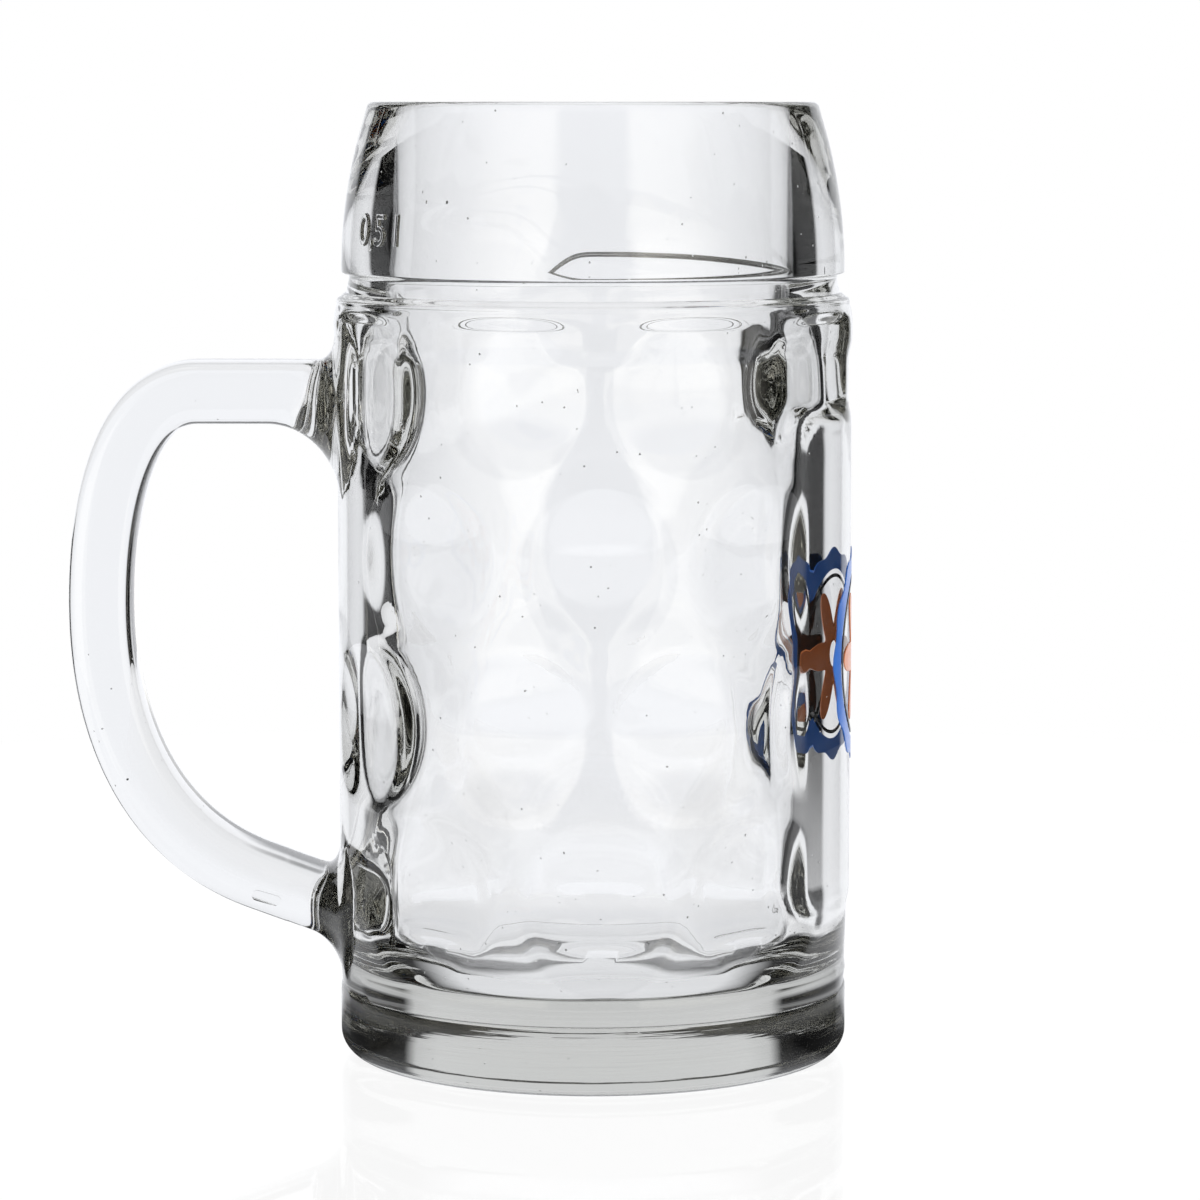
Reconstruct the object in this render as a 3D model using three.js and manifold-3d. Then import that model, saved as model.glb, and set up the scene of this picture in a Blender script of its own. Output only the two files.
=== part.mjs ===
// Half-litre glass beer mug of the eye pattern: a pressed vessel with staggered rows of round hollows,
// called eyes, a loop handle welded on hot at two flared feet, and a fired enamel medallion on the
// smooth panel opposite the handle.
// Millimetres, +Z up. The origin is on the vessel's axis, in the plane that the mug stands on.
// The handle is at -X and the panel at +X.
import * as THREE from "three";
import { mergeVertices } from "three/addons/utils/BufferGeometryUtils.js";
import loadManifold from "manifold-3d";

const wasm = await loadManifold();
wasm.setup();

// Overall height, and the radius of the wall's ridges between the eyes
const MUG_HEIGHT = 160;
const BODY_RADIUS = 42.8;

// Heights of the vessel's zones: base from below, the others from the rim down
const BASE_HEIGHT = 12;
const BAND_HEIGHT = 28;
const GROOVE_HEIGHT = 3.5;
const SHOULDER_HEIGHT = 7;

// How far the zones stand in or out from the wall's ridges
const BASE_INSET = 0.2;
const SHOULDER_PROUD = 0.6;
const GROOVE_INSET = 2.1;
const BAND_INSET = 0.8;
const RIM_INSET = 5.1;

// Rounds on the outside of the vessel
const BASE_ROUND = 4.2;
const LEDGE_HEIGHT = 1;
const GROOVE_ROUND = 0.9;
const LIP_ROUND = 1.2;

// Inside of the vessel
const WALL_THICKNESS = 7.8;
const LIP_THICKNESS = 4.1;
const FLOOR_THICKNESS = 14;
const FLOOR_ROUND = 9;

// Eyes: round hollows in rows on both sides of the handle. Every second row is staggered by half a pitch
// and has one eye fewer. The first eyes of the other rows stand a little closer to the handle.
const EYE_RADIUS = 13.2;
const EYE_DEPTH = 2.2;
const EYE_BULGE = 0.9;
const EYE_ROWS = 4;
const EYE_COLUMNS = 4;
const EYES_PER_TURN = 9;
const EYE_LOW_RISE = 18.6;
const EYE_TOP_DROP = 8.3;
const EYE_FIRST_ANGLE = THREE.MathUtils.degToRad(32);
const EYE_FIRST_SHIFT = THREE.MathUtils.degToRad(5);

// Smooth raised panel opposite the handle
const PANEL_WIDTH = 60;
const PANEL_PROUD = 0.4;
const PANEL_LOW_RISE = 13;
const PANEL_TOP_DROP = 11;
const PANEL_CORNER = 7;
const PANEL_EDGE = 3;

// Handle: a bar with rounded corners in the XZ plane, level at the top and sloping down to its lower foot
const BAR_THICKNESS = 10.6;
const BAR_WIDTH = 14.6;
const BAR_SQUARENESS = 4.5;
const FINGER_ROOM = 34.5;
const HANDLE_TOP_DROP = 9.7;
const HANDLE_FOOT_RISE = 12.9;
const FOOT_SLOPE = THREE.MathUtils.degToRad(20);
const TOP_STRAIGHT = 23.2;
const FOOT_STRAIGHT = 14.3;
const GRIP_LIFT = 7.6;

// Fullness of the handle's two bends: how far each curve keeps straight on before it turns
const TOP_BEND_LEVEL = 0.77;
const TOP_BEND_UPRIGHT = 0.45;
const LOW_BEND_UPRIGHT = 0.56;
const LOW_BEND_SLOPING = 0.61;

// Flared feet: fillets from the bar to the wall. Above the bar they spread far up the wall and rise little
// from it, below the bar and at its sides they are round.
const FLARE_UP_SPREAD = 7.5;
const FLARE_UP_RISE = 3.5;
const TOP_FLARE_DOWN = 8.6;
const FOOT_FLARE_DOWN = 5.4;
const FLARE_SIDES = 8;
const FOOT_BURY = 4;
const WELD_GAP = 0.3;

// Enamel medallion: outer ring, line and rosette, one above the other on the panel's middle
const PRINT_GAP = 0.15;
const PRINT_THICKNESS = 0.2;
const RING_OUTER_RADIUS = 17.5;
const RING_WIDTH = 3.2;
const RING_SCALLOPS = 12;
const SCALLOP_HEIGHT = 0.5;
const PRINT_SPACE = 0.8;
const LINE_WIDTH = 0.6;
const PETALS = 6;
const PETAL_LENGTH = 7;
const HUB_HOLE_RADIUS = 2.2;

// Fineness of the meshes
const TURN_STEPS = 56;
const WALL_STEPS = 26;
const BORE_STEPS = 13;
const BAND_STEPS = 6;
const ROUND_STEPS = 4;
const BAR_SIDES = 16;
const BEND_STEPS = 12;
const FLARE_STEPS = 4;
const PRINT_STEPS = 72;
const ROSETTE_RINGS = 3;

// Sizes that follow from the ones above
const BASE_RADIUS = BODY_RADIUS - BASE_INSET;
const SHOULDER_RADIUS = BODY_RADIUS + SHOULDER_PROUD;
const GROOVE_RADIUS = BODY_RADIUS - GROOVE_INSET;
const BAND_RADIUS = BODY_RADIUS - BAND_INSET;
const RIM_RADIUS = BODY_RADIUS - RIM_INSET;
const BORE_RADIUS = BODY_RADIUS - WALL_THICKNESS;
const PANEL_RADIUS = BODY_RADIUS + PANEL_PROUD;
const BAND_BOTTOM = MUG_HEIGHT - BAND_HEIGHT;
const GROOVE_BOTTOM = BAND_BOTTOM - GROOVE_HEIGHT;
const WALL_TOP = GROOVE_BOTTOM - SHOULDER_HEIGHT;
const PANEL_BOTTOM = BASE_HEIGHT + PANEL_LOW_RISE;
const PANEL_TOP = WALL_TOP - PANEL_TOP_DROP;
const PANEL_MIDDLE = (PANEL_BOTTOM + PANEL_TOP) / 2;

// Points on a quarter of an ellipse, both ends included. The quarter starts at a number of right angles
// from straight outwards, and turns by one more: forwards is towards up.
function quarterPoints(radius, height, width, rise, startQuarter, forwards) {
  const points = [];
  for (let step = 0; step <= ROUND_STEPS; step += 1) {
    const turned = startQuarter + (forwards ? step : -step) / ROUND_STEPS;
    const angle = (turned * Math.PI) / 2;
    points.push(new THREE.Vector2(radius + width * Math.cos(angle), height + rise * Math.sin(angle)));
  }
  return points;
}

// Outside of the vessel from the middle of the underside up to the lip's outer round.
// grow moves the whole outside away from the axis.
function outsideProfile(grow) {
  const points = [new THREE.Vector2(0, 0)];
  const baseCentre = BASE_RADIUS - BASE_ROUND;
  points.push(...quarterPoints(baseCentre, BASE_ROUND, BASE_ROUND, BASE_ROUND, -1, true));
  points.push(new THREE.Vector2(BASE_RADIUS, BASE_HEIGHT - LEDGE_HEIGHT));
  for (let step = 0; step <= WALL_STEPS; step += 1) {
    const height = BASE_HEIGHT + ((WALL_TOP - BASE_HEIGHT) * step) / WALL_STEPS;
    points.push(new THREE.Vector2(BODY_RADIUS, height));
  }
  const beadHeight = SHOULDER_HEIGHT / 2;
  const beadWidth = SHOULDER_RADIUS - GROOVE_RADIUS;
  points.push(...quarterPoints(GROOVE_RADIUS, WALL_TOP + beadHeight, beadWidth, beadHeight, 0, true));
  points.push(new THREE.Vector2(GROOVE_RADIUS, BAND_BOTTOM - GROOVE_ROUND));
  points.push(new THREE.Vector2(BAND_RADIUS - GROOVE_ROUND / 2, BAND_BOTTOM - GROOVE_ROUND / 4));
  const bandDrop = BAND_RADIUS - RIM_RADIUS;
  const bandArc = (BAND_HEIGHT ** 2 + bandDrop ** 2) / (2 * bandDrop);
  for (let step = 0; step < BAND_STEPS; step += 1) {
    const rise = GROOVE_ROUND / 2 + ((BAND_HEIGHT - LIP_ROUND - GROOVE_ROUND / 2) * step) / BAND_STEPS;
    const radius = BAND_RADIUS - bandArc + Math.sqrt(bandArc ** 2 - rise ** 2);
    points.push(new THREE.Vector2(radius, BAND_BOTTOM + rise));
  }
  const lipCentre = MUG_HEIGHT - LIP_ROUND;
  points.push(...quarterPoints(RIM_RADIUS - LIP_ROUND, lipCentre, LIP_ROUND, LIP_ROUND, 0, true));
  for (const point of points) {
    point.x += point.x > 0 ? grow : 0;
  }
  return points;
}

// Inside of the vessel from the lip's inner round down to the middle of the floor
function insideProfile() {
  const lipInside = RIM_RADIUS - LIP_THICKNESS;
  const lipCentre = MUG_HEIGHT - LIP_ROUND;
  const points = quarterPoints(lipInside + LIP_ROUND, lipCentre, LIP_ROUND, LIP_ROUND, 1, true);
  const floorCorner = FLOOR_THICKNESS + FLOOR_ROUND;
  points.push(new THREE.Vector2(BORE_RADIUS, BAND_BOTTOM));
  for (let step = 0; step < BORE_STEPS; step += 1) {
    const height = WALL_TOP - ((WALL_TOP - floorCorner) * step) / BORE_STEPS;
    points.push(new THREE.Vector2(BORE_RADIUS, height));
  }
  const cornerCentre = BORE_RADIUS - FLOOR_ROUND;
  points.push(...quarterPoints(cornerCentre, floorCorner, FLOOR_ROUND, FLOOR_ROUND, 0, false));
  points.push(new THREE.Vector2(0, FLOOR_THICKNESS));
  return points;
}

// A turned solid about Z, with its shared vertices merged
function turned(profile) {
  const lathe = new THREE.LatheGeometry(profile, TURN_STEPS, Math.PI / 2);
  lathe.rotateX(Math.PI / 2);
  return weldVertices(lathe);
}

function weldVertices(geometry) {
  geometry.deleteAttribute("normal");
  geometry.deleteAttribute("uv");
  return mergeVertices(geometry, 1e-4);
}

// Middles of all the eyes: the angle from the +X axis, and the height
function eyeMiddles() {
  const pitch = (2 * Math.PI) / EYES_PER_TURN;
  const lowest = BASE_HEIGHT + EYE_LOW_RISE;
  const highest = WALL_TOP - EYE_TOP_DROP;
  const middles = [];
  for (let row = 0; row < EYE_ROWS; row += 1) {
    const height = highest - ((highest - lowest) * row) / (EYE_ROWS - 1);
    const stagger = (row % 2) * (pitch / 2);
    for (let column = 0; column < EYE_COLUMNS - (row % 2); column += 1) {
      const shift = row % 2 === 0 && column === 0 ? EYE_FIRST_SHIFT : 0;
      const fromHandle = EYE_FIRST_ANGLE + stagger + column * pitch - shift;
      middles.push({ angle: Math.PI - fromHandle, height });
      middles.push({ angle: fromHandle - Math.PI, height });
    }
  }
  return middles;
}

// 1 on the raised panel, 0 on the wall around it, and a smooth step over the panel's edge
function panelShare(angle, height) {
  const across = Math.abs(angle) * BODY_RADIUS - (PANEL_WIDTH / 2 - PANEL_CORNER);
  const along = Math.abs(height - PANEL_MIDDLE) - ((PANEL_TOP - PANEL_BOTTOM) / 2 - PANEL_CORNER);
  const outside = Math.hypot(Math.max(across, 0), Math.max(along, 0));
  const inside = Math.min(Math.max(across, along), 0);
  return 1 - THREE.MathUtils.smoothstep(outside + inside - PANEL_CORNER, -PANEL_EDGE, 0);
}

// 1 in the middle of an eye, 0 on the ridges: a round hollow, cut short by the panel and the shoulder
function eyeShare(angle, height, middles) {
  let share = 0;
  for (const eye of middles) {
    const turn = Math.atan2(Math.sin(angle - eye.angle), Math.cos(angle - eye.angle));
    const reach = Math.hypot(turn * BODY_RADIUS, height - eye.height) / EYE_RADIUS;
    share = Math.max(share, 1 - reach ** 2);
  }
  const belowShoulder = height < WALL_TOP ? 1 : 0;
  return share * belowShoulder * (1 - panelShare(angle, height));
}

// The vessel: a turned solid whose wall is pressed in at the eyes and stands out at the panel
function vesselGeometry() {
  const geometry = turned([...outsideProfile(0), ...insideProfile()]);
  const position = geometry.getAttribute("position");
  const middles = eyeMiddles();
  for (let index = 0; index < position.count; index += 1) {
    const height = position.getZ(index);
    const radius = Math.hypot(position.getX(index), position.getY(index));
    const angle = Math.atan2(position.getY(index), position.getX(index));
    const onWall = height >= BASE_HEIGHT && height <= WALL_TOP && radius > BORE_RADIUS - LIP_ROUND;
    if (onWall) {
      const outer = radius > BORE_RADIUS + WALL_THICKNESS / 2;
      const press = eyeShare(angle, height, middles);
      const outerMove = PANEL_PROUD * panelShare(angle, height) - EYE_DEPTH * press;
      const moved = radius + (outer ? outerMove : -EYE_BULGE * press);
      position.setXY(index, moved * Math.cos(angle), moved * Math.sin(angle));
    }
  }
  return geometry;
}

// One point of the bar's section: across is along Y, out is in the plane of the loop
function sectionPoint(side) {
  const angle = (2 * Math.PI * side) / BAR_SIDES;
  const power = 2 / BAR_SQUARENESS;
  const across = Math.sign(Math.cos(angle)) * Math.abs(Math.cos(angle)) ** power;
  const out = Math.sign(Math.sin(angle)) * Math.abs(Math.sin(angle)) ** power;
  return { across: (across * BAR_WIDTH) / 2, out: (out * BAR_THICKNESS) / 2, angle };
}

// The middle line of the handle between its two straight ends, from the upper to the lower foot
function handleLine() {
  const topHeight = WALL_TOP - HANDLE_TOP_DROP;
  const footHeight = BASE_HEIGHT + HANDLE_FOOT_RISE;
  const gripX = -(BODY_RADIUS + FINGER_ROOM + BAR_THICKNESS / 2);
  const gripHeight = (topHeight + footHeight) / 2 + GRIP_LIFT;
  const topEnd = new THREE.Vector3(-(BODY_RADIUS + TOP_STRAIGHT), 0, topHeight);
  const grip = new THREE.Vector3(gripX, 0, gripHeight);
  const awayFromFoot = new THREE.Vector3(-Math.cos(FOOT_SLOPE), 0, Math.sin(FOOT_SLOPE));
  const footEnd = new THREE.Vector3(-BODY_RADIUS, 0, footHeight).addScaledVector(awayFromFoot, FOOT_STRAIGHT);
  const topPull = new THREE.Vector3((gripX - topEnd.x) * TOP_BEND_LEVEL, 0, 0);
  const gripUp = new THREE.Vector3(0, 0, (topEnd.z - grip.z) * TOP_BEND_UPRIGHT);
  const gripDown = new THREE.Vector3(0, 0, (footEnd.z - grip.z) * LOW_BEND_UPRIGHT);
  const footPull = awayFromFoot.clone().multiplyScalar((footEnd.x - gripX) * LOW_BEND_SLOPING);
  const line = new THREE.CurvePath();
  const topTurn = [topEnd.clone().add(topPull), grip.clone().add(gripUp)];
  const lowTurn = [grip.clone().add(gripDown), footEnd.clone().add(footPull)];
  line.add(new THREE.CubicBezierCurve3(topEnd, ...topTurn, grip));
  line.add(new THREE.CubicBezierCurve3(grip, ...lowTurn, footEnd));
  return { line, topHeight, footHeight };
}

// Rings of points from deep in the wall out to the end of a foot's fillet. Each ring follows the wall's
// curve, and the bar's outline is widened there by the fillet. upward is 1 where the outside of the loop
// faces up, and -1 where it faces down. flareDown is the fillet's radius below the bar.
function footRings(height, slope, upward, flareDown) {
  const rings = [];
  for (let step = -1; step <= FLARE_STEPS; step += 1) {
    const ring = [];
    for (let side = 0; side < BAR_SIDES; side += 1) {
      const { across, out, angle } = sectionPoint(side);
      const above = upward * Math.sin(angle);
      const endSpread = above > 0 ? FLARE_UP_SPREAD : flareDown;
      const endRise = above > 0 ? FLARE_UP_RISE : flareDown;
      const spread = FLARE_SIDES + (endSpread - FLARE_SIDES) * above ** 2;
      const rise = FLARE_SIDES + (endRise - FLARE_SIDES) * above ** 2;
      const bend = (Math.max(step, 0) / FLARE_STEPS) * (Math.PI / 2);
      const widen = spread * (1 - Math.sin(bend));
      const wallRadius = BODY_RADIUS + (step < 0 ? -FOOT_BURY : rise * (1 - Math.cos(bend)));
      const y = across + widen * Math.cos(angle);
      const x = -Math.sqrt(wallRadius ** 2 - y ** 2);
      const onSlope = (-BODY_RADIUS - x) * Math.tan(slope);
      const reach = out / Math.cos(slope) + widen * Math.sin(angle);
      ring.push(new THREE.Vector3(x, y, height + onSlope + upward * reach));
    }
    rings.push(ring);
  }
  return rings;
}

// Rings of points square to the handle's bent middle line
function bendRings(line) {
  const rings = [];
  const count = BEND_STEPS * 2;
  for (let step = 0; step <= count; step += 1) {
    const middle = line.getPoint(step / count);
    const along = line.getTangent(step / count);
    const outward = new THREE.Vector3(along.z, 0, -along.x);
    const ring = [];
    for (let side = 0; side < BAR_SIDES; side += 1) {
      const { across, out } = sectionPoint(side);
      const point = middle.clone().addScaledVector(outward, out);
      point.y += across;
      ring.push(point);
    }
    rings.push(ring);
  }
  return rings;
}

// A closed skin over a row of rings, with a flat fan at both ends
function skinOver(rings) {
  const sides = rings[0].length;
  const points = rings.flat();
  const triangles = [];
  for (let ring = 0; ring + 1 < rings.length; ring += 1) {
    for (let side = 0; side < sides; side += 1) {
      const here = ring * sides + side;
      const next = ring * sides + ((side + 1) % sides);
      triangles.push(next, here, here + sides);
      triangles.push(next + sides, next, here + sides);
    }
  }
  for (const ring of [0, rings.length - 1]) {
    const middle = new THREE.Vector3();
    rings[ring].forEach((point) => middle.addScaledVector(point, 1 / sides));
    points.push(middle);
    for (let side = 0; side < sides; side += 1) {
      const here = ring * sides + side;
      const next = ring * sides + ((side + 1) % sides);
      const fan = ring === 0 ? [here, next] : [next, here];
      triangles.push(...fan, points.length - 1);
    }
  }
  const geometry = new THREE.BufferGeometry().setFromPoints(points);
  geometry.setIndex(triangles);
  return geometry;
}

function toSolid(geometry) {
  const vertProperties = new Float32Array(geometry.getAttribute("position").array);
  const triVerts = new Uint32Array(geometry.getIndex().array);
  return new wasm.Manifold(new wasm.Mesh({ numProp: 3, vertProperties, triVerts }));
}

function toGeometry(solid) {
  const mesh = solid.getMesh();
  const geometry = new THREE.BufferGeometry();
  geometry.setAttribute("position", new THREE.BufferAttribute(new Float32Array(mesh.vertProperties), 3));
  geometry.setIndex(new THREE.BufferAttribute(new Uint32Array(mesh.triVerts), 1));
  return geometry;
}

// The handle: one bar from foot to foot, its ends cut to the vessel's wall
function handleGeometry() {
  const { line, topHeight, footHeight } = handleLine();
  const upperFoot = footRings(topHeight, 0, 1, TOP_FLARE_DOWN);
  const lowerFoot = footRings(footHeight, FOOT_SLOPE, -1, FOOT_FLARE_DOWN);
  const bar = toSolid(skinOver([...upperFoot, ...bendRings(line), ...lowerFoot.reverse()]));
  const grown = outsideProfile(WELD_GAP);
  grown.push(new THREE.Vector2(0, MUG_HEIGHT));
  return toGeometry(bar.subtract(toSolid(turned(grown))));
}

// A thin plate of enamel that lies on the panel: a ring whose outer radius may change with the angle
function enamelGeometry(innerRadius, outerRadius, rings) {
  const stack = [];
  const lowFace = PANEL_RADIUS + PRINT_GAP;
  const faces = [lowFace, lowFace + PRINT_THICKNESS];
  for (let step = 0; step < PRINT_STEPS; step += 1) {
    const angle = (2 * Math.PI * step) / PRINT_STEPS;
    const section = [];
    faces.forEach((face, side) => {
      for (let ring = 0; ring <= rings; ring += 1) {
        const share = side === 0 ? ring / rings : 1 - ring / rings;
        const reach = innerRadius + (outerRadius(angle) - innerRadius) * share;
        const turn = (reach * Math.cos(angle)) / PANEL_RADIUS;
        const height = PANEL_MIDDLE + reach * Math.sin(angle);
        section.push(new THREE.Vector3(face * Math.cos(turn), face * Math.sin(turn), height));
      }
    });
    stack.push(section);
  }
  return closedLoop(stack);
}

// A closed skin over rings that come back to the first one
function closedLoop(rings) {
  const sides = rings[0].length;
  const triangles = [];
  rings.forEach((ring, index) => {
    const here = index * sides;
    const next = ((index + 1) % rings.length) * sides;
    ring.forEach((point, side) => {
      const beside = (side + 1) % sides;
      triangles.push(here + beside, here + side, next + side);
      triangles.push(next + beside, here + beside, next + side);
    });
  });
  const geometry = new THREE.BufferGeometry().setFromPoints(rings.flat());
  geometry.setIndex(triangles);
  return geometry;
}

const ringInnerRadius = RING_OUTER_RADIUS - RING_WIDTH;
const lineOuterRadius = ringInnerRadius - PRINT_SPACE;
const lineInnerRadius = lineOuterRadius - LINE_WIDTH;
const petalTipRadius = lineInnerRadius - PRINT_SPACE;

function plainEdge() {
  return lineOuterRadius;
}

function scallopedEdge(angle) {
  return RING_OUTER_RADIUS + SCALLOP_HEIGHT * Math.cos(RING_SCALLOPS * angle);
}

function petalEdge(angle) {
  return petalTipRadius - PETAL_LENGTH * Math.sin((PETALS * angle) / 2) ** 2;
}

function named(name, geometry, material) {
  const mesh = new THREE.Mesh(geometry, new THREE.MeshStandardMaterial(material));
  mesh.name = name;
  return mesh;
}

const clearGlass = { color: 0xe6ebe6, roughness: 0.03, metalness: 0, transparent: true, opacity: 0.35 };
const blueEnamel = { color: 0x2a5fc8, roughness: 0.25, metalness: 0 };
const blackEnamel = { color: 0x17181c, roughness: 0.25, metalness: 0 };
const orangeEnamel = { color: 0xe0662a, roughness: 0.25, metalness: 0 };

const mug = new THREE.Group();
mug.name = "beer_mug";
mug.add(named("mug_body", vesselGeometry(), clearGlass));
mug.add(named("handle", handleGeometry(), clearGlass));
mug.add(named("print_blue_ring", enamelGeometry(ringInnerRadius, scallopedEdge, 1), blueEnamel));
mug.add(named("print_black_line", enamelGeometry(lineInnerRadius, plainEdge, 1), blackEnamel));
mug.add(named("print_rosette", enamelGeometry(HUB_HOLE_RADIUS, petalEdge, ROSETTE_RINGS), orangeEnamel));

export default mug;
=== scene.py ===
# %% [markdown]
# # A half-litre eye mug in clear glass
# The mug is a pressed glass vessel with rows of round hollows, called eyes, and a solid glass handle that
# is welded on hot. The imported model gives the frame: the standing plane is z = 0, the handle points to -X
# and the printed panel to +X. Every length below is in metres.

# %% Load the frame
import math

import bpy
import numpy as np
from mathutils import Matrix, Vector


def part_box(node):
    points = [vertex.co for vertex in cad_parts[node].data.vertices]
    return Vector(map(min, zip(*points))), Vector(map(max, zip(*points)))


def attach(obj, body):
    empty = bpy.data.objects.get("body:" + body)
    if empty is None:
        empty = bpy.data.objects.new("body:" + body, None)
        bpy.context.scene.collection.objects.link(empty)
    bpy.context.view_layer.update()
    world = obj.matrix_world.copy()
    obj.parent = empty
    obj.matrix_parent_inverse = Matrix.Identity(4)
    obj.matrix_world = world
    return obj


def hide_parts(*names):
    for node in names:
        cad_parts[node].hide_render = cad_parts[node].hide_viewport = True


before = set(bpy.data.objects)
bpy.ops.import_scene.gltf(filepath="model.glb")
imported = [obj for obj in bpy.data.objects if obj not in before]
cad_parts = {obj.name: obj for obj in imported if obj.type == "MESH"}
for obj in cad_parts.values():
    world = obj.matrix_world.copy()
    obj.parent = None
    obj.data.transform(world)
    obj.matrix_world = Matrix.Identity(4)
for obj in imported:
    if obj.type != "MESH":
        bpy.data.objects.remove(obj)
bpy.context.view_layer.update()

MM = 0.001
_, body_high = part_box("mug_body")
handle_low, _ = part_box("handle")

# %% [markdown]
# ## Main sizes
# The overall height and the handle's reach come from the frame. The other sizes are those of the glass:
# the radius of the ridges between the eyes, the thickness of the wall, and the heights of the zones.

# %% Main sizes
MUG_HEIGHT = body_high.z
WALL_RADIUS = 42.8 * MM
BORE_RADIUS = 35.0 * MM
BAND_BORE = 33.5 * MM
FLOOR_HEIGHT = 14 * MM
BASE_TOP = 12 * MM
WALL_TOP = 121.5 * MM
BAND_BOTTOM = 132 * MM
BAND_RADIUS = 42.0 * MM
RIM_RADIUS = 37.7 * MM
LIP_ROUND = 1.2 * MM
LIP_INSIDE = 33.6 * MM
TURN_STEPS = 256


def arc(radius, height, width, rise, start, end, steps):
    """Points (radius, height) on an arc of an ellipse between two angles in degrees, both ends included."""
    angles = np.radians(np.linspace(start, end, steps + 1))
    return [(radius + width * math.cos(a), height + rise * math.sin(a)) for a in angles]


def straight(start, end, steps):
    """Points on a straight line, without its first one."""
    shares = np.linspace(0, 1, steps + 1)[1:]
    return [(start[0] + (end[0] - start[0]) * s, start[1] + (end[1] - start[1]) * s) for s in shares]


# %% [markdown]
# ## The vessel's outline
# A drinking glass is round, so its outline is drawn once and spun, as on a lathe. The outline runs from
# the middle of the underside, round the foot, up the base and the wall, over the shoulder bead and the
# groove, up the tapered drinking band, over the lip, and down inside to the middle of the floor. Round
# stretches are arcs, so that the refraction in the glass stays smooth. A faint ring above the base and a
# faint crest on the bead are soft bumps on the outline, as the joints of a mould leave them. The bore is a
# little narrower in the band than in the wall.

# %% The vessel's outline
PUNT_DEPTH = 0.8 * MM
PUNT_RADIUS = 32 * MM
FOOT_INNER = 36 * MM
BASE_RADIUS = 42.7 * MM
BASE_ROUND = 4.2 * MM
LEDGE_INSET = 0.35 * MM
LEDGE_ROUND = 0.5 * MM
RING_HEIGHT = 14.6 * MM
RING_RISE = 0.22 * MM
RING_WIDTH = 0.9 * MM
SHOULDER_RADIUS = 43.4 * MM
SHOULDER_MIDDLE = 123.4 * MM
GROOVE_RADIUS = 40.7 * MM
GROOVE_BOTTOM = 128.6 * MM
GROOVE_ROUND = 0.7 * MM
CREST_HEIGHT = 127.2 * MM
CREST_RISE = 0.3 * MM
CREST_WIDTH = 0.4 * MM
LEDGE_FADE = 26 * MM
BEAD_START = 117.5 * MM
FLOOR_ROUND = 9 * MM
STEP_TOP = 122 * MM
STEP_LOW = 100 * MM
SETTLE_TOP = 140 * MM
SETTLE_LOW = 126 * MM
LIP_HEIGHT = 158 * MM
WALL_STEPS = 120
BEAD_STEPS = 28
BAND_STEPS = 24
BAND_BORE_STEPS = 30
BORE_STEPS = 50


def smooth(value, low, high):
    """A soft step from 0 at low to 1 at high."""
    share = np.clip((value - low) / (high - low), 0, 1)
    return share * share * (3 - 2 * share)


def underside_outline():
    points = [(0, PUNT_DEPTH)]
    points += straight((0, PUNT_DEPTH), (PUNT_RADIUS, PUNT_DEPTH), 5)
    for share in np.linspace(0, 1, 9)[1:]:
        radius = PUNT_RADIUS + (FOOT_INNER - PUNT_RADIUS) * share
        points.append((radius, PUNT_DEPTH * (1 - float(smooth(share, 0, 1)))))
    points += arc(BASE_RADIUS - BASE_ROUND, BASE_ROUND, BASE_ROUND, BASE_ROUND, -90, 0, 10)
    return points


def wall_radius_at(height):
    """The ridge radius: a little in above the base, and swelling into the shoulder bead."""
    ring = RING_RISE * np.exp(-((height - RING_HEIGHT) / RING_WIDTH) ** 2)
    above_base = LEDGE_INSET * (1 - smooth(height, BASE_TOP, LEDGE_FADE)) - ring
    bead = (SHOULDER_RADIUS - WALL_RADIUS) * smooth(height, BEAD_START, WALL_TOP)
    return WALL_RADIUS - above_base + bead


def band_radius_at(height):
    """The outside radius of the drinking band, an arc that starts upright at its lower edge."""
    drop = BAND_RADIUS - RIM_RADIUS
    rise = MUG_HEIGHT - LIP_ROUND - BAND_BOTTOM
    band_arc = (rise ** 2 + drop ** 2) / (2 * drop)
    return BAND_RADIUS - band_arc + np.sqrt(band_arc ** 2 - (height - BAND_BOTTOM) ** 2)


def outside_outline():
    points = underside_outline()
    ledge_low = BASE_TOP - LEDGE_ROUND
    points += straight(points[-1], (BASE_RADIUS, ledge_low), 6)
    foot_of_wall = float(wall_radius_at(BASE_TOP))
    points += arc(foot_of_wall, ledge_low, BASE_RADIUS - foot_of_wall, LEDGE_ROUND, 0, 90, 4)[1:]
    for height in np.linspace(BASE_TOP, WALL_TOP, WALL_STEPS + 1)[1:]:
        points.append((float(wall_radius_at(height)), float(height)))
    bead_width = SHOULDER_RADIUS - GROOVE_RADIUS
    bead_rise = GROOVE_BOTTOM - SHOULDER_MIDDLE
    for radius, height in arc(GROOVE_RADIUS, SHOULDER_MIDDLE, bead_width, bead_rise, 0, 78, BEAD_STEPS):
        crest = CREST_RISE * math.exp(-((height - CREST_HEIGHT) / CREST_WIDTH) ** 2)
        points.append((radius + crest, height + crest / 2))
    groove_top = BAND_BOTTOM - 1.6 * GROOVE_ROUND
    points += arc(GROOVE_RADIUS + GROOVE_ROUND, groove_top, GROOVE_ROUND, GROOVE_ROUND, 200, 90, 8)
    edge_width = BAND_RADIUS - GROOVE_RADIUS - GROOVE_ROUND
    points += arc(GROOVE_RADIUS + GROOVE_ROUND, BAND_BOTTOM, edge_width, 0.6 * GROOVE_ROUND, -90, 0, 8)[1:]
    for height in np.linspace(BAND_BOTTOM, MUG_HEIGHT - LIP_ROUND, BAND_STEPS + 1)[1:-1]:
        points.append((float(band_radius_at(height)), float(height)))
    return points


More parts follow.
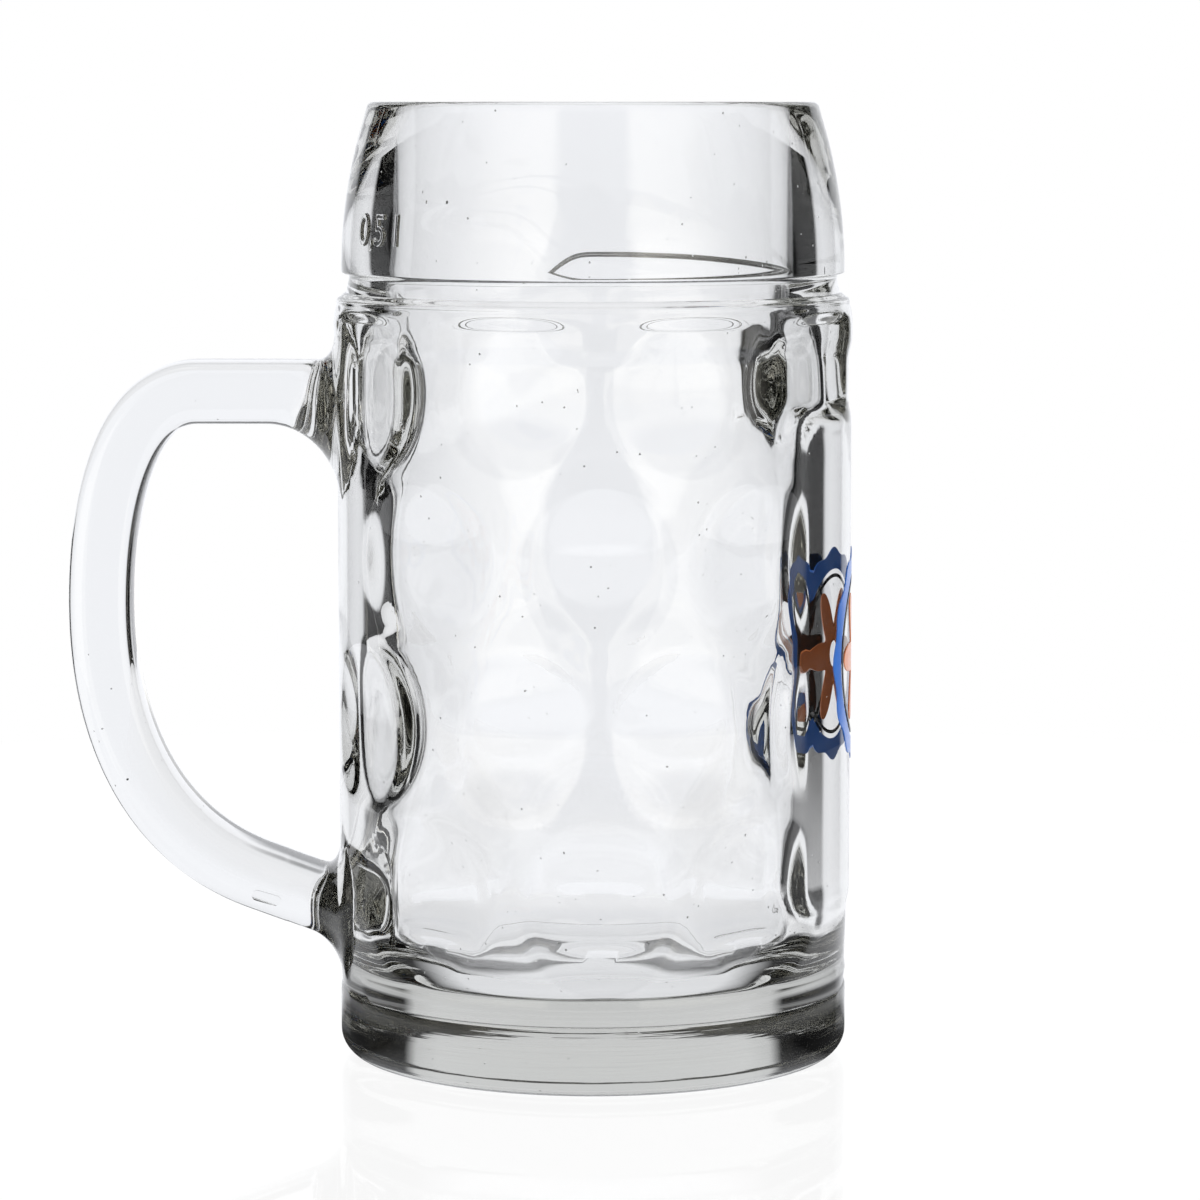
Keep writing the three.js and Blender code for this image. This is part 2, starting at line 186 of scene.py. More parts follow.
def inside_outline():
    lip_height = MUG_HEIGHT - LIP_ROUND
    points = arc(RIM_RADIUS - LIP_ROUND, lip_height, LIP_ROUND, LIP_ROUND, 10, 90, 6)
    points += arc(LIP_INSIDE + LIP_ROUND, lip_height, LIP_ROUND, LIP_ROUND, 90, 180, 6)
    points += straight(points[-1], (BAND_BORE, STEP_TOP), BAND_BORE_STEPS)
    for share in np.linspace(0, 1, 17)[1:]:
        radius = BAND_BORE + (BORE_RADIUS - BAND_BORE) * float(smooth(share, 0, 1))
        points.append((radius, STEP_TOP + (STEP_LOW - STEP_TOP) * share))
    floor_corner = FLOOR_HEIGHT + FLOOR_ROUND
    points += straight(points[-1], (BORE_RADIUS, floor_corner), BORE_STEPS)
    points += arc(BORE_RADIUS - FLOOR_ROUND, floor_corner, FLOOR_ROUND, FLOOR_ROUND, 0, -90, 14)[1:]
    points += straight(points[-1], (0, FLOOR_HEIGHT), 6)
    return points


outline = outside_outline() + inside_outline()
print("outline:", len(outline), "points")

# %% [markdown]
# ## Spinning the vessel
# A single vertex is the start: a plane is merged to one point, which is extruded along the outline. Spin
# turns the outline round Z, and the doubled points on the axis and at the seam are merged afterwards.

# %% Spin the vessel
DOUBLES = 0.002 * MM


def deselect():
    if bpy.context.object and bpy.context.object.mode != "OBJECT":
        bpy.ops.object.mode_set(mode="OBJECT")
    bpy.ops.object.select_all(action="DESELECT")


def pick(piece):
    deselect()
    piece.select_set(True)
    bpy.context.view_layer.objects.active = piece


def close_skin(piece):
    """Merges doubled points and turns all normals outwards."""
    pick(piece)
    bpy.ops.object.mode_set(mode="EDIT")
    bpy.ops.mesh.select_all(action="SELECT")
    bpy.ops.mesh.remove_doubles(threshold=DOUBLES)
    bpy.ops.mesh.normals_make_consistent(inside=False)
    bpy.ops.object.mode_set(mode="OBJECT")


def spun_piece(name, points, steps):
    deselect()
    bpy.ops.mesh.primitive_plane_add(size=MM)
    piece = bpy.context.object
    piece.name = name
    bpy.ops.object.mode_set(mode="EDIT")
    bpy.ops.mesh.merge(type="CENTER")
    bpy.ops.transform.translate(value=(points[0][0], 0, points[0][1]))
    for before, after in zip(points, points[1:]):
        move = (after[0] - before[0], 0, after[1] - before[1])
        bpy.ops.mesh.extrude_vertices_move(TRANSFORM_OT_translate={"value": move})
    bpy.ops.mesh.select_all(action="SELECT")
    bpy.ops.mesh.spin(steps=steps, angle=2 * math.pi, center=(0, 0, 0), axis=(0, 0, 1))
    close_skin(piece)
    return piece


glass = spun_piece("mug_glass", outline, TURN_STEPS)
print("spun:", len(glass.data.vertices), "vertices,", len(glass.data.polygons), "faces")

# %% [markdown]
# ## Eyes and panel
# The eyes are pressed in by the mould, and the soft glass bulges inside behind them, so that the wall stays
# almost even in thickness. That is why an eye shows as a pale disc, with a dark crescent where it is seen
# from the side. A boolean cut would leave sharp rims, so the wall is moved instead: every vertex gets a
# weight from its distance to the nearest eye, and a Displace modifier moves the skin along its normals by
# that weight. The smooth panel opposite the handle stands a little proud and cuts off the eyes that reach
# into it. On the handle's side the bore keeps its full width up into the band, which is one more Displace.

# %% Eyes and panel
EYE_RADIUS = 13.8 * MM
EYE_DEPTH = 2.0 * MM
EYE_BULGE = 1.9 * MM
BULGE_RADIUS = 14 * MM
TOP_STRETCH = 2.3
EYE_ROWS = 4
EYE_COLUMNS = 4
EYE_PITCH = math.radians(40)
EYE_FIRST = math.radians(32)
FIRST_SHIFT = math.radians(5)
EYE_LOWEST = 30.6 * MM
EYE_HIGHEST = 113.2 * MM
EYE_ZONE_FOOT = (13.5 * MM, 20 * MM)
EYE_ZONE_TOP = (123.6 * MM, 126.6 * MM)
BULGE_ZONE_TOP = (119 * MM, 125 * MM)
WIDE_BORE_END = (-15 * MM, -1 * MM)
PANEL_HALF_WIDTH = 30 * MM
PANEL_LOW = 25 * MM
PANEL_HIGH = 110.5 * MM
PANEL_CORNER = 7 * MM
PANEL_EDGE = 3.4 * MM
PANEL_PROUD = 0.5 * MM


def vertex_places(piece):
    places = np.empty(len(piece.data.vertices) * 3)
    piece.data.vertices.foreach_get("co", places)
    return places.reshape(-1, 3)


def eye_middles():
    for row in range(EYE_ROWS):
        height = EYE_HIGHEST - (EYE_HIGHEST - EYE_LOWEST) * row / (EYE_ROWS - 1)
        stagger = EYE_PITCH / 2 * (row % 2)
        for column in range(EYE_COLUMNS - row % 2):
            from_handle = EYE_FIRST + stagger + column * EYE_PITCH
            if column == 0:
                from_handle -= FIRST_SHIFT
            yield math.pi - from_handle, height
            yield from_handle - math.pi, height


def eye_share(angle, height, eye_radius, top_stretch):
    """1 in the middle of an eye, 0 on the ridges; the highest eyes are drawn out upwards by a factor."""
    share = np.zeros(len(angle))
    for middle, middle_height in eye_middles():
        turn = np.angle(np.exp(1j * (angle - middle)))
        upward = height - middle_height
        if middle_height > EYE_HIGHEST - MM:
            upward = np.where(upward > 0, upward / top_stretch, upward)
        reach = np.hypot(turn * WALL_RADIUS, upward) / eye_radius
        share += np.clip(1 - reach ** 2, 0, 1) ** 1.5
    return np.clip(share, 0, 1)


def panel_share(angle, height):
    """1 on the raised panel, 0 outside it, and a soft step at its rounded edge."""
    across = np.abs(angle) * WALL_RADIUS - (PANEL_HALF_WIDTH - PANEL_CORNER)
    middle = (PANEL_LOW + PANEL_HIGH) / 2
    along = np.abs(height - middle) - ((PANEL_HIGH - PANEL_LOW) / 2 - PANEL_CORNER)
    outside = np.hypot(np.maximum(across, 0), np.maximum(along, 0))
    inside = np.minimum(np.maximum(across, along), 0)
    return 1 - smooth(outside + inside - PANEL_CORNER, -PANEL_EDGE, 0)


def press(piece, name, shares, depth):
    """Moves the skin along its normals by depth times each vertex's share."""
    pick(piece)
    group = piece.vertex_groups.new(name=name)
    for index in np.flatnonzero(shares > 1e-4):
        group.add([int(index)], float(shares[index]), "REPLACE")
    push = piece.modifiers.new(name, "DISPLACE")
    push.vertex_group = name
    push.direction = "NORMAL"
    push.mid_level = 0
    push.strength = depth
    bpy.ops.object.modifier_apply(modifier=name)
    piece.vertex_groups.remove(piece.vertex_groups[name])


places = vertex_places(glass)
radius = np.hypot(places[:, 0], places[:, 1])
angle = np.arctan2(places[:, 1], places[:, 0])
height = places[:, 2]
on_wall = (height > BASE_TOP) & (height < GROOVE_BOTTOM)
outer = on_wall & (radius > (BORE_RADIUS + WALL_RADIUS) / 2)
inner = (radius < BORE_RADIUS + 0.1 * MM) & (height > FLOOR_HEIGHT + FLOOR_ROUND) & (height < LIP_HEIGHT)
panel = panel_share(angle, height)
eyes = eye_share(angle, height, EYE_RADIUS, TOP_STRETCH) * (1 - panel)
bulges = eye_share(angle, height, BULGE_RADIUS, 1) * (1 - panel)
below_shoulder = smooth(height, *EYE_ZONE_FOOT) - smooth(height, *EYE_ZONE_TOP)
press(glass, "eyes_outside", eyes * below_shoulder * outer, -EYE_DEPTH)
below_band = 1 - smooth(height, *BULGE_ZONE_TOP)
press(glass, "eyes_inside", bulges * below_band * inner, EYE_BULGE)
settled = smooth(height, STEP_LOW, STEP_TOP) - smooth(height, SETTLE_LOW, SETTLE_TOP)
to_handle = 1 - smooth(places[:, 0], *WIDE_BORE_END)
press(glass, "settled", settled * to_handle * inner, BAND_BORE - BORE_RADIUS)
press(glass, "panel", panel * outer, PANEL_PROUD)
print("eyes:", len(list(eye_middles())), "pressed", EYE_DEPTH / MM, "mm deep")

# %% [markdown]
# ## The handle
# The handle is a solid glass bar with a squarish, rounded section. A Bezier curve is its middle line and a
# second, closed curve its section, so Blender sweeps the bar by itself. The curve has five points: two for
# the level upper arm, one for the grip, and two for the sloping lower arm. Both ends are buried in the
# wall. The curve is then converted to a mesh, so that its feet can be shaped.

# %% The handle's bar
BAR_HALF_THICKNESS = 5.3 * MM
BAR_HALF_WIDTH = 7.3 * MM
HANDLE_TOP = 111.8 * MM
HANDLE_FOOT = 24.9 * MM
FOOT_SLOPE = math.radians(20)
TOP_STRAIGHT = 23.2 * MM
FOOT_STRAIGHT = 14.3 * MM
GRIP_HEIGHT = 76 * MM
FOOT_BURY = 3.6 * MM
GRIP_X = handle_low.x + BAR_HALF_THICKNESS
# A pull is how far a Bezier handle reaches along its tangent, as a share of the way to the next point.
TOP_PULL = 0.77
GRIP_PULL_UP = 0.45
GRIP_PULL_DOWN = 0.56
FOOT_PULL = 0.61


def bezier_point(point, place, before, after):
    point.handle_left_type = point.handle_right_type = "FREE"
    point.co, point.handle_left, point.handle_right = place, before, after


def bar_section():
    """A closed curve whose Bezier handles reach the corners of its box: flat sides, rounded corners."""
    deselect()
    bpy.ops.curve.primitive_bezier_circle_add(radius=1)
    section = bpy.context.object
    section.data.resolution_u = 12
    section.data.dimensions = "2D"
    corners = [(-1, 0), (0, 1), (1, 0), (0, -1)]
    for point, (x, y) in zip(section.data.splines[0].bezier_points, corners):
        place = Vector((x * BAR_HALF_WIDTH, y * BAR_HALF_THICKNESS, 0))
        reach = Vector((y * BAR_HALF_WIDTH, -x * BAR_HALF_THICKNESS, 0))
        bezier_point(point, place, place - reach, place + reach)
    return section


def handle_line():
    deselect()
    bpy.ops.curve.primitive_bezier_curve_add()
    line = bpy.context.object
    line.data.resolution_u = 44
    line.data.splines[0].bezier_points.add(3)
    points = line.data.splines[0].bezier_points
    away = Vector((-math.cos(FOOT_SLOPE), 0, math.sin(FOOT_SLOPE)))
    top_end = Vector((-WALL_RADIUS - TOP_STRAIGHT, 0, HANDLE_TOP))
    top_start = Vector((-WALL_RADIUS + FOOT_BURY, 0, HANDLE_TOP))
    grip = Vector((GRIP_X, 0, GRIP_HEIGHT))
    foot_mouth = Vector((-WALL_RADIUS, 0, HANDLE_FOOT))
    foot_end = foot_mouth + away * FOOT_STRAIGHT
    foot_start = foot_mouth - away * FOOT_BURY
    level = Vector((GRIP_X - top_end.x, 0, 0)) * TOP_PULL
    up = Vector((0, 0, HANDLE_TOP - GRIP_HEIGHT)) * GRIP_PULL_UP
    down = Vector((0, 0, foot_end.z - GRIP_HEIGHT)) * GRIP_PULL_DOWN
    sloping = away * (foot_end.x - GRIP_X) * FOOT_PULL
    third = (top_end - top_start) / 3
    low_third = (foot_start - foot_end) / 3
    bezier_point(points[0], top_start, top_start - third, top_start + third)
    bezier_point(points[1], top_end, top_end - third, top_end + level)
    bezier_point(points[2], grip, grip + up, grip + down)
    bezier_point(points[3], foot_end, foot_end + sloping, foot_end + low_third)
    bezier_point(points[4], foot_start, foot_start - low_third, foot_start + low_third)
    return line


section = bar_section()
handle = handle_line()
handle.name = "handle_bar"
handle.data.bevel_mode = "OBJECT"
handle.data.bevel_object = section
handle.data.use_fill_caps = True
pick(handle)
bpy.ops.object.convert(target="MESH")
handle = bpy.context.object
close_skin(handle)
bpy.data.objects.remove(section)
bar = vertex_places(handle)
print("bar:", np.round(bar.min(0) / MM, 2), np.round(bar.max(0) / MM, 2), len(bar), "vertices")

# %% [markdown]
# ### Flared feet
# The feet flare out where the hot glass was pressed against the wall. Above and below, the flare is a round
# fillet, which is largest under the upper arm, and at the sides it is nearly a cone. Every vertex near the
# wall is moved by the fillet's width at its height over the wall. It is moved along the wall and not along
# the bar's own normal, because the lower arm comes in at a slope and its flare would turn into a spur. The
# fillet ends a little under the wall's skin, so that the weld shows as a fine line, as on the real mug.

# %% Flared feet
FLARE_UP_SPREAD = 9.3 * MM
FLARE_UP_RISE = 3.5 * MM
TOP_FLARE_SPREAD = 13.9 * MM
TOP_FLARE_RISE = 12.6 * MM
FOOT_FLARE_SPREAD = 6.7 * MM
FOOT_FLARE_RISE = 5.4 * MM
FLARE_SIDES = 8 * MM
SIDE_RISE = 6 * MM
SIDE_POWER = 1.5
WELD_DEPTH = 0.6 * MM
above_wall = np.hypot(bar[:, 0], bar[:, 1]) - WALL_RADIUS
upper_foot = bar[:, 2] > GRIP_HEIGHT
foot_line = HANDLE_FOOT - (bar[:, 0] + WALL_RADIUS) * math.tan(FOOT_SLOPE)
bar_middle = np.where(upper_foot, HANDLE_TOP, foot_line)
above_bar = np.clip((bar[:, 2] - bar_middle) / BAR_HALF_THICKNESS, -1, 1)
spread_down = np.where(upper_foot, TOP_FLARE_SPREAD, FOOT_FLARE_SPREAD)
rise_down = np.where(upper_foot, TOP_FLARE_RISE, FOOT_FLARE_RISE)
end_spread = np.where(above_bar > 0, FLARE_UP_SPREAD, spread_down)
end_rise = np.where(above_bar > 0, FLARE_UP_RISE, rise_down)
spread = FLARE_SIDES + (end_spread - FLARE_SIDES) * above_bar ** 2
rise = SIDE_RISE + (end_rise - SIDE_RISE) * above_bar ** 2
level = np.clip((above_wall + WELD_DEPTH) / rise, 0, 1)
round_fillet = 1 - np.sqrt(1 - (1 - level) ** 2)
side_fillet = (1 - level) ** SIDE_POWER
widen = spread * (side_fillet + (round_fillet - side_fillet) * above_bar ** 2)
normals = np.empty(len(bar) * 3)
handle.data.vertices.foreach_get("normal", normals)
along_wall = normals.reshape(-1, 3) * (0, 1, 1)
along_wall /= np.maximum(np.linalg.norm(along_wall, axis=1, keepdims=True), 0.01)
handle.data.vertices.foreach_set("co", (bar + along_wall * widen[:, None]).ravel())
handle.data.update()
print("flares: feet widened by up to", round(float(widen.max()) / MM, 1), "mm")

# %% [markdown]
# ## Welding
# On the real mug there is no surface between the handle and the vessel: the glass is one. Two separate
# glass meshes would show a false mirror at the weld, so a boolean union makes them one skin. Hot glass
# leaves no sharp seam, so a Smooth modifier softens the skin round both feet, held there by a vertex group.

# %% Weld the handle to the vessel
MELT_DEPTHS = (-3 * MM, 9 * MM)
MELT_SIDE = 20 * MM
MELT_REACH = 16 * MM
MELT_ROUNDS = 8


def weld(piece, other):
    pick(piece)
    union = piece.modifiers.new("weld", "BOOLEAN")
    union.operation = "UNION"
    union.solver = "EXACT"
    union.object = other
    bpy.ops.object.modifier_apply(modifier="weld")
    bpy.data.objects.remove(other)


weld(glass, handle)
places = vertex_places(glass)
out_of_wall = np.hypot(places[:, 0], places[:, 1]) - WALL_RADIUS
near_wall = (out_of_wall > MELT_DEPTHS[0]) & (out_of_wall < MELT_DEPTHS[1])
near_handle = (places[:, 0] < 0) & (np.abs(places[:, 1]) < MELT_SIDE)
near_top = np.abs(places[:, 2] - HANDLE_TOP) < MELT_REACH
near_foot = np.abs(places[:, 2] - HANDLE_FOOT) < MELT_REACH
soft = near_wall & near_handle & (near_top | near_foot)
group = glass.vertex_groups.new(name="soft")
group.add([int(index) for index in np.flatnonzero(soft)], 1, "REPLACE")
melt = glass.modifiers.new("melt", "SMOOTH")
melt.vertex_group = "soft"
melt.factor = 0.5
melt.iterations = MELT_ROUNDS
bpy.ops.object.modifier_apply(modifier="melt")
glass.vertex_groups.remove(glass.vertex_groups["soft"])
print("welded:", len(glass.data.vertices), "vertices,", int(soft.sum()), "softened")

# %% [markdown]
# ## Capacity mark
# Glasses that are sold full carry their measure and a filling line, raised in the glass of the drinking
# band. A text object gives the shape. Its bevel rounds the strokes, because round strokes catch the light
# and flat ones don't. It is turned into a mesh, laid round the band, and welded on.

# %% Capacity mark
MARK_RELIEF = 0.5 * MM
MARK_ROOT = 0.4 * MM
MARK_HEIGHT = 6.2 * MM
MARK_WIDTH = 12 * MM
MARK_FOOT = 135.8 * MM
MARK_ANGLE = math.radians(-56.5)
LINE_HEIGHT = 143.8 * MM
LINE_ANGLE = math.radians(-37)
LINE_SIZE = (4.2 * MM, 0.5 * MM)


def lay_on_band(piece, middle_angle, foot, size):
    """Stretches a flat relief to size and lays it round the band; its depth runs from root to relief."""
    places = vertex_places(piece)
    low = places.min(0)
    share = (places - low) / (places.max(0) - low)
    height = foot + share[:, 1] * size[1]
    radius = band_radius_at(height) - MARK_ROOT + share[:, 2] * (MARK_ROOT + MARK_RELIEF)
    turn = middle_angle + (share[:, 0] - 0.5) * size[0] / BAND_RADIUS
    places = np.column_stack((radius * np.sin(turn), -radius * np.cos(turn), height))
    piece.data.vertices.foreach_set("co", places.ravel())
    piece.location = (0, 0, 0)
    close_skin(piece)


deselect()
bpy.ops.object.text_add()
mark = bpy.context.object
mark.data.body = "0,5 l"
mark.data.extrude = 0.03
mark.data.bevel_depth = 0.04
mark.data.bevel_resolution = 2
mark.data.offset = -0.02
mark.data.resolution_u = 5
bpy.ops.object.convert(target="MESH")
mark = bpy.context.object
lay_on_band(mark, MARK_ANGLE, MARK_FOOT, (MARK_WIDTH, MARK_HEIGHT))
deselect()
bpy.ops.mesh.primitive_cube_add(size=1)
fill_line = bpy.context.object
lay_on_band(fill_line, LINE_ANGLE, LINE_HEIGHT, LINE_SIZE)
weld(glass, mark)
weld(glass, fill_line)
print("marked:", len(glass.data.vertices), "vertices")

# %% [markdown]
# ### Mould mark
# The lower arm of the handle has a small, long mark in low relief, where a pin of the mould met the glass.
# A short cylinder is drawn out to a slot shape and welded to the arm's flat side.

# %% Mould mark
SLOT_MIDDLE = (-54.9 * MM, 27.0 * MM)
SLOT_LENGTH = 5 * MM
SLOT_WIDTH = 1.8 * MM
SLOT_RELIEF = 0.3 * MM
SLOT_ROOT = 0.3 * MM
SLOT_SLOPE = math.radians(-16)

deselect()
bpy.ops.mesh.primitive_cylinder_add(vertices=40, radius=SLOT_WIDTH / 2, depth=SLOT_ROOT + SLOT_RELIEF)
slot = bpy.context.object
places = vertex_places(slot)
along = places[:, 0] + np.sign(places[:, 0]) * (SLOT_LENGTH - SLOT_WIDTH) / 2
across = places[:, 1]
x = SLOT_MIDDLE[0] + along * math.cos(SLOT_SLOPE) - across * math.sin(SLOT_SLOPE)
z = SLOT_MIDDLE[1] + along * math.sin(SLOT_SLOPE) + across * math.cos(SLOT_SLOPE)
y = -BAR_HALF_WIDTH - places[:, 2] + (SLOT_ROOT - SLOT_RELIEF) / 2
slot.data.vertices.foreach_set("co", np.column_stack((x, y, z)).ravel())
weld(glass, slot)
pick(glass)
bpy.ops.object.shade_smooth_by_angle(angle=math.radians(50))
print("slot welded:", len(glass.data.vertices), "vertices")

# %% [markdown]
# ## Clear glass
# Soda-lime glass bends light by an index of about 1.5. Its colour shows only in thick places, so the tint
# is faint and lies in the volume, where it grows with the light's way through the glass. Pressed glass is
# never quite even: a slow noise gives the surface a soft waviness, a noise that is flattened in Z gives the
# base its level streaks, and tiny pits stand for the seeds in the melt.

# %% Clear glass
GLASS_INDEX = 1.5
GLASS_TINT = (0.83, 0.83, 0.815, 1)
TINT_DENSITY = 40
WAVE_SCALE = 60
WAVE_STRENGTH = 0.02
STREAK_SCALE = (25, 25, 900)
STREAK_STRENGTH = 0.12
STREAK_DEPTH = 0.3 * MM
SEED_SCALE = 270
SEED_SIZE = 0.047
SEED_DEPTH = 0.3 * MM


def new_material(name):
    material = bpy.data.materials.new(name)
    material.use_nodes = True
    nodes = material.node_tree.nodes
    return material, nodes, material.node_tree.links, nodes["Principled BSDF"]


def add_node(tree, kind, links, **settings):
    """A node with its plain settings and linked inputs; links maps an input to an output."""
    node = tree.nodes.new(kind)
    for name, value in settings.items():
        setattr(node, name, value)
    for name, source in links.items():
        if isinstance(source, bpy.types.NodeSocket):
            tree.links.new(source, node.inputs[name])
        else:
            node.inputs[name].default_value = source
    return node


def noise(tree, vector, scale, detail):
    settings = {"Vector": vector, "Scale": scale, "Detail": detail}
    return add_node(tree, "ShaderNodeTexNoise", settings).outputs["Fac"]


def bump(tree, settings):
    return add_node(tree, "ShaderNodeBump", settings).outputs["Normal"]


def clear_glass():
    material, nodes, links, shader = new_material("clear_glass")
    tree = material.node_tree
    shader.inputs["Base Color"].default_value = (1, 1, 1, 1)
    shader.inputs["Roughness"].default_value = 0.0
    shader.inputs["IOR"].default_value = GLASS_INDEX
    shader.inputs["Transmission Weight"].default_value = 1
    place = add_node(tree, "ShaderNodeTexCoord", {}).outputs["Object"]
    waves = noise(tree, place, WAVE_SCALE, 1)
    normal = bump(tree, {"Height": waves, "Strength": WAVE_STRENGTH, "Distance": MM})
    flat = add_node(tree, "ShaderNodeMapping", {"Vector": place, "Scale": STREAK_SCALE})
    streaks = noise(tree, flat.outputs[0], 1, 3)
    height = add_node(tree, "ShaderNodeSeparateXYZ", {"Vector": place}).outputs["Z"]
    low = {"Value": height, "From Min": BASE_TOP, "From Max": BASE_TOP - MM, "To Max": STREAK_STRENGTH}
    in_base = add_node(tree, "ShaderNodeMapRange", low).outputs[0]
    level = {"Height": streaks, "Strength": in_base, "Distance": STREAK_DEPTH, "Normal": normal}
    normal = bump(tree, level)
    seeds = add_node(tree, "ShaderNodeTexVoronoi", {"Vector": place, "Scale": SEED_SCALE})
    pit_size = {"Value": seeds.outputs["Distance"], "From Min": 0.0, "From Max": SEED_SIZE}
    pits = add_node(tree, "ShaderNodeMapRange", pit_size).outputs[0]
    normal = bump(tree, {"Height": pits, "Strength": 1.0, "Distance": SEED_DEPTH, "Normal": normal})
    links.new(normal, shader.inputs["Normal"])
    colour = {"Color": GLASS_TINT, "Density": TINT_DENSITY}
    tint = add_node(tree, "ShaderNodeVolumeAbsorption", colour)
    links.new(tint.outputs["Volume"], nodes["Material Output"].inputs["Volume"])
    return material


glass.data.materials.clear()
glass.data.materials.append(clear_glass())
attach(glass, "root")
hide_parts("mug_body", "handle")
print("glass:", glass.name, "index", GLASS_INDEX)

# %% [markdown]
# ## Enamel print
# The print is fired onto the panel in three colours: a scalloped blue ring, a thin black line, and an
# orange rosette. Each is a flat ring of edges that is extruded into bands, shaped by a formula, laid round
# the panel and made thick with a Solidify modifier. Its back lies just inside the glass, because fired
# enamel has no air behind it.

# %% Enamel shapes
PRINT_MIDDLE = (PANEL_LOW + PANEL_HIGH) / 2
PRINT_SINK = 0.05 * MM
PRINT_THICKNESS = 0.2 * MM
RING_OUTER = 17.5 * MM
RING_INNER = 14.3 * MM
LINE_OUTER = 13.5 * MM
LINE_INNER = 12.9 * MM
PETAL_TIP = 12.1 * MM
PETAL_LENGTH = 7 * MM
HUB_HOLE = 2.2 * MM


def scalloped_edge(turn):
    return RING_OUTER + 0.5 * MM * np.cos(12 * turn)


def petal_edge(turn):
    return PETAL_TIP - PETAL_LENGTH * np.sin(3 * turn) ** 2


def plain_edge(radius):
    return lambda turn: np.full_like(turn, radius)


def enamel_piece(name, inner_edge, outer_edge, bands, steps):
    deselect()
    bpy.ops.mesh.primitive_circle_add(vertices=steps, radius=HUB_HOLE)
    piece = bpy.context.object
    piece.name = name
    bpy.ops.object.mode_set(mode="EDIT")
    bpy.ops.mesh.select_all(action="SELECT")
    for band in range(bands):
        wider = (HUB_HOLE + (band + 1) * MM) / (HUB_HOLE + band * MM)
        bpy.ops.mesh.extrude_edges_move(TRANSFORM_OT_translate={"value": (0, 0, 0)})
        bpy.ops.transform.resize(value=(wider, wider, 1))
    bpy.ops.object.mode_set(mode="OBJECT")
    places = vertex_places(piece)
    turn = np.arctan2(places[:, 1], places[:, 0])
    share = np.round((np.hypot(places[:, 0], places[:, 1]) - HUB_HOLE) / MM) / bands
    reach = inner_edge(turn) + (outer_edge(turn) - inner_edge(turn)) * share
    face = WALL_RADIUS + PANEL_PROUD - PRINT_SINK
    around = reach * np.cos(turn) / face
    height = PRINT_MIDDLE + reach * np.sin(turn)
    places = np.column_stack((face * np.cos(around), face * np.sin(around), height))
    piece.data.vertices.foreach_set("co", places.ravel())
    pick(piece)
    bpy.ops.object.mode_set(mode="EDIT")
    bpy.ops.mesh.select_all(action="SELECT")
    bpy.ops.mesh.normals_make_consistent(inside=False)
    bpy.ops.object.mode_set(mode="OBJECT")
    outward = sum(p.normal.x for p in piece.data.polygons)
    thick = piece.modifiers.new("thick", "SOLIDIFY")
    thick.thickness = PRINT_THICKNESS
    thick.offset = 1 if outward > 0 else -1
    bpy.ops.object.modifier_apply(modifier="thick")
    bpy.ops.object.mode_set(mode="EDIT")
    bpy.ops.mesh.select_all(action="SELECT")
    bpy.ops.mesh.normals_make_consistent(inside=False)
    bpy.ops.object.mode_set(mode="OBJECT")
    bpy.ops.object.shade_smooth_by_angle(angle=math.radians(40))
    return piece


ring = enamel_piece("print_blue", plain_edge(RING_INNER), scalloped_edge, 3, 288)
line = enamel_piece("print_black", plain_edge(LINE_INNER), plain_edge(LINE_OUTER), 1, 192)
rosette = enamel_piece("print_orange", plain_edge(HUB_HOLE), petal_edge, 6, 288)
print("enamel:", [len(piece.data.polygons) for piece in (ring, line, rosette)], "faces")

# %% [markdown]
# ### Enamel finish
# Fired enamel is glossy and a little uneven in depth of colour, because the screen leaves more of it in
# some places than in others. A fine noise varies the colour and the roughness, and raises the surface.

# %% Enamel finish
BLUE = ((0.05, 0.22, 0.75, 1), (0.03, 0.15, 0.6, 1))
BLACK = ((0.012, 0.012, 0.015, 1), (0.004, 0.004, 0.006, 1))
ORANGE = ((0.85, 0.28, 0.09, 1), (0.7, 0.18, 0.05, 1))
GRAIN_SCALE = 900
CLOUD_SCALE = 160
GRAIN_DEPTH = 0.05 * MM


def enamel(name, light, dark):
    material, _, links, shader = new_material(name)
    tree = material.node_tree
    place = add_node(tree, "ShaderNodeTexCoord", {}).outputs["Object"]
    grain = noise(tree, place, GRAIN_SCALE, 3)
    cloud = noise(tree, place, CLOUD_SCALE, 2)
    colours = add_node(tree, "ShaderNodeMix", {"Factor": cloud}, data_type="RGBA")
    colours.inputs[6].default_value = light
    colours.inputs[7].default_value = dark
    gloss = {"Value": grain, "To Min": 0.12, "To Max": 0.32}
    rough = add_node(tree, "ShaderNodeMapRange", gloss)
    normal = bump(tree, {"Height": grain, "Strength": 0.15, "Distance": GRAIN_DEPTH})
    links.new(colours.outputs[2], shader.inputs["Base Color"])
    links.new(rough.outputs[0], shader.inputs["Roughness"])
    links.new(normal, shader.inputs["Normal"])
    return material


finishes = [
    (ring, "print_blue_ring", "blue_enamel", BLUE),
    (line, "print_black_line", "black_enamel", BLACK),
    (rosette, "print_rosette", "orange_enamel", ORANGE),
]
for piece, node, slot_name, (light, dark) in finishes:
    piece.data.materials.append(enamel(slot_name, light, dark))
    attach(piece, "root")
    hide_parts(node)
    print("enamel:", piece.name, "in", slot_name)

# %% [markdown]
# ## Studio
# Clear glass is only seen by what it bends: a white sheet behind it fills the middle, and darker studio
# walls beside the sheet draw its edges. The world holds that studio for rays that have met glass, as levels
# over the angle from the sheet's middle and over the height, and plain white for the camera and the floor.
# No lamp is needed: a lamp would only add small hard spots that the glass on the photograph doesn't have.

